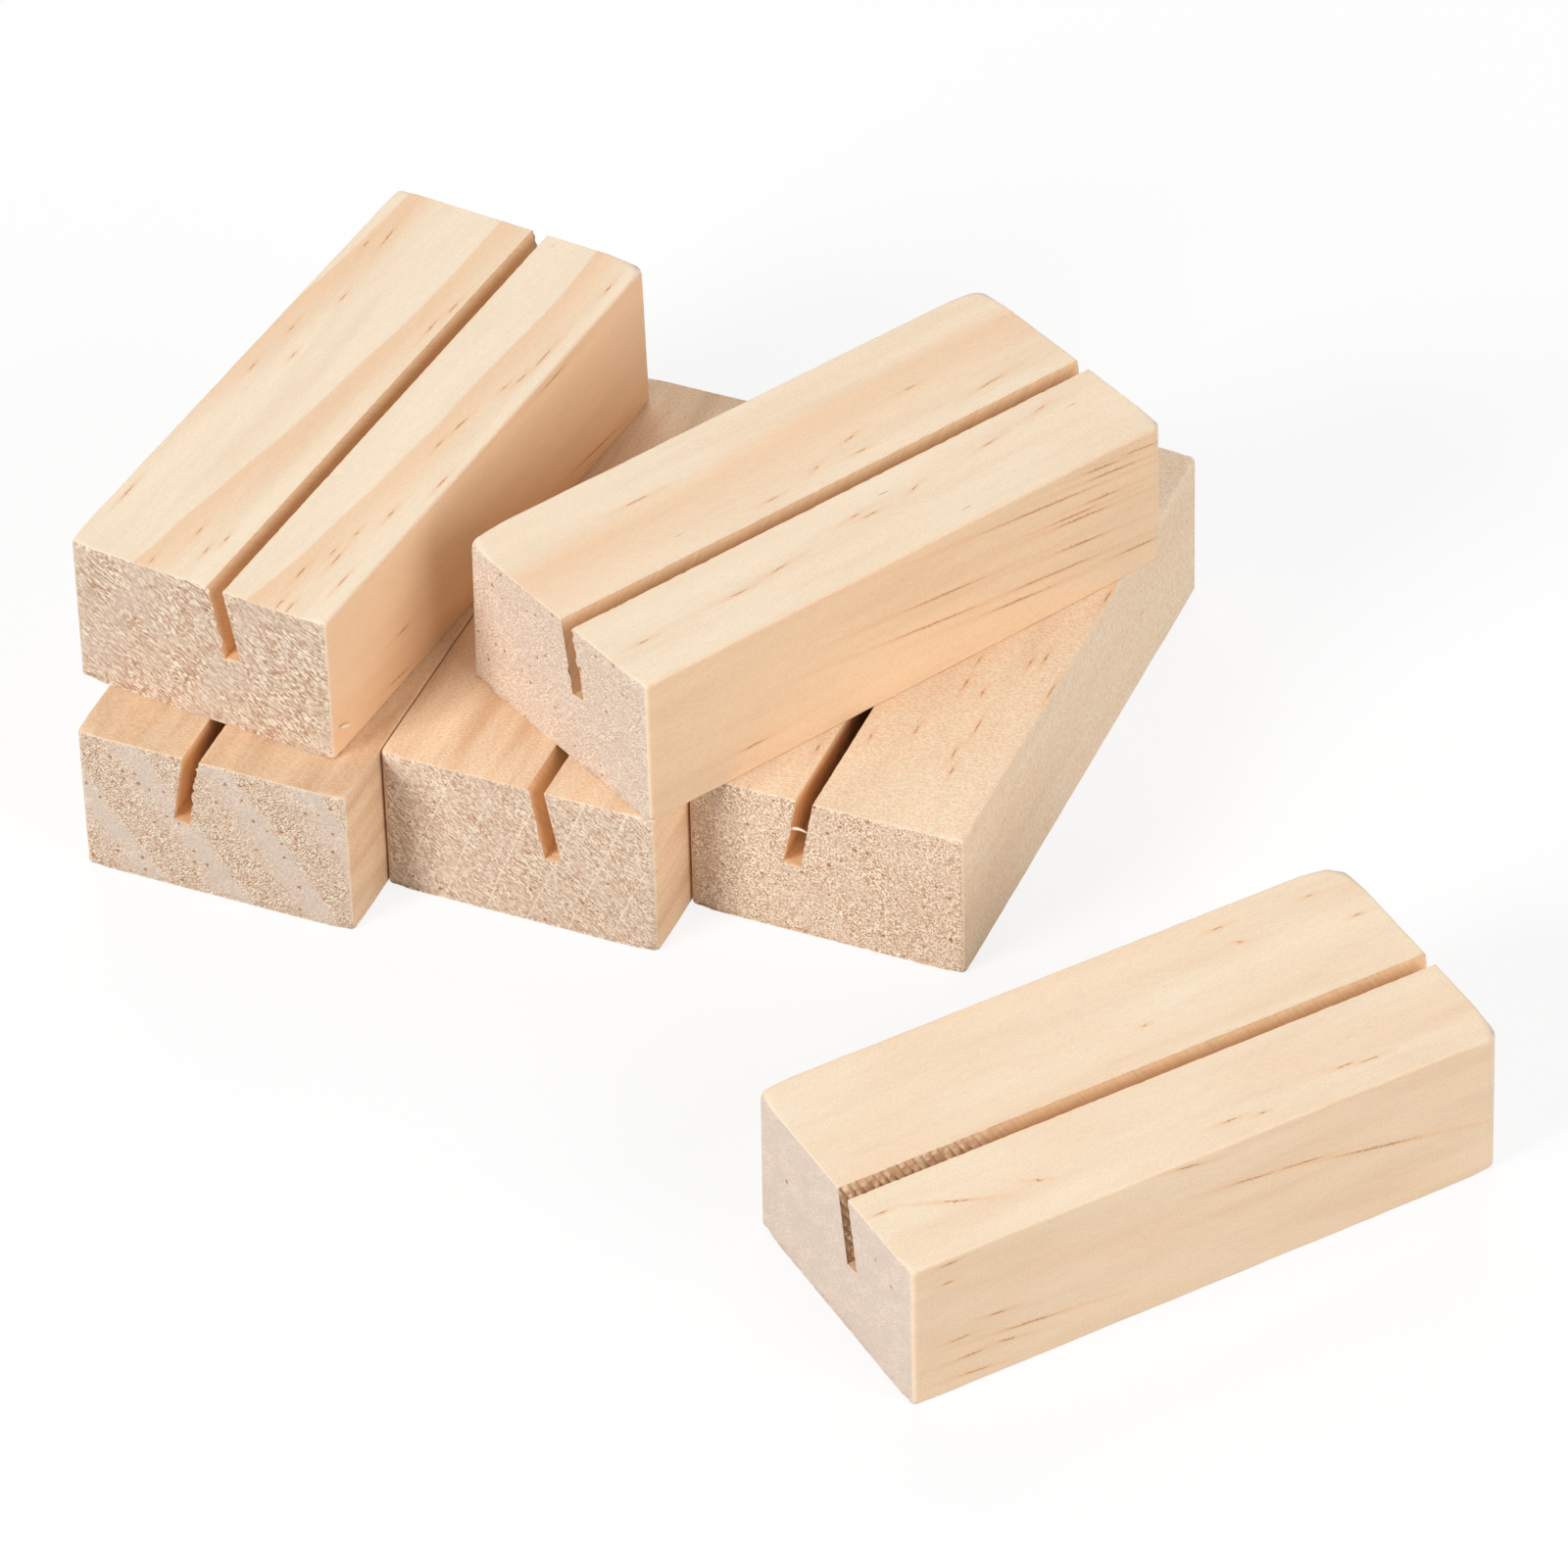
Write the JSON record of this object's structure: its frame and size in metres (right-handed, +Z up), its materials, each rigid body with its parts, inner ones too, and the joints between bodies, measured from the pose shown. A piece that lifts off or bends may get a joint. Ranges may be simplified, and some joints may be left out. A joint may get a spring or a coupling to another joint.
{
  "type": "wooden photo block holder set",
  "caption": "Stack of loose rectangular pine blocks, each with a leaning saw slot along its top that holds a photo or card upright.",
  "frame": {"origin": "middle of the underside of the row's middle block, on the surface that the set stands on", "axes": "+Z up, +Y along the blocks of the lower row from their near ends to their far ends, +X across the row to the right"},
  "size_m": [0.2305, 0.1897, 0.0532],
  "materials": {
    "pine": "bare sanded pine, sawn end grain"
  },
  "bodies": {
    "lower_middle": {"lower_middle_block": "pine"},
    "lower_left": {"lower_left_block": "pine"},
    "upper_left": {"upper_left_block": "pine"},
    "lower_right": {"lower_right_block": "pine"},
    "upper_right": {"upper_right_block": "pine"},
    "front": {"front_block": "pine"}
  },
  "joints": [
    {"name": "left_pair_slide", "type": "slide", "parent": "lower_middle", "child": "lower_left", "axis": [-1, 0, 0], "range_m": [0, 0.06]},
    {"name": "upper_left_lift", "type": "slide", "parent": "lower_left", "child": "upper_left", "axis": [0, 0, 1], "range_m": [0, 0.06]},
    {"name": "right_pair_slide", "type": "slide", "parent": "lower_middle", "child": "lower_right", "axis": [1, 0, 0], "range_m": [0, 0.03]},
    {"name": "upper_right_lift", "type": "slide", "parent": "lower_right", "child": "upper_right", "axis": [0, 0, 1], "range_m": [0, 0.06]},
    {"name": "front_lift", "type": "slide", "parent": "lower_middle", "child": "front", "axis": [0, 0, 1], "range_m": [0, 0.06]}
  ]
}
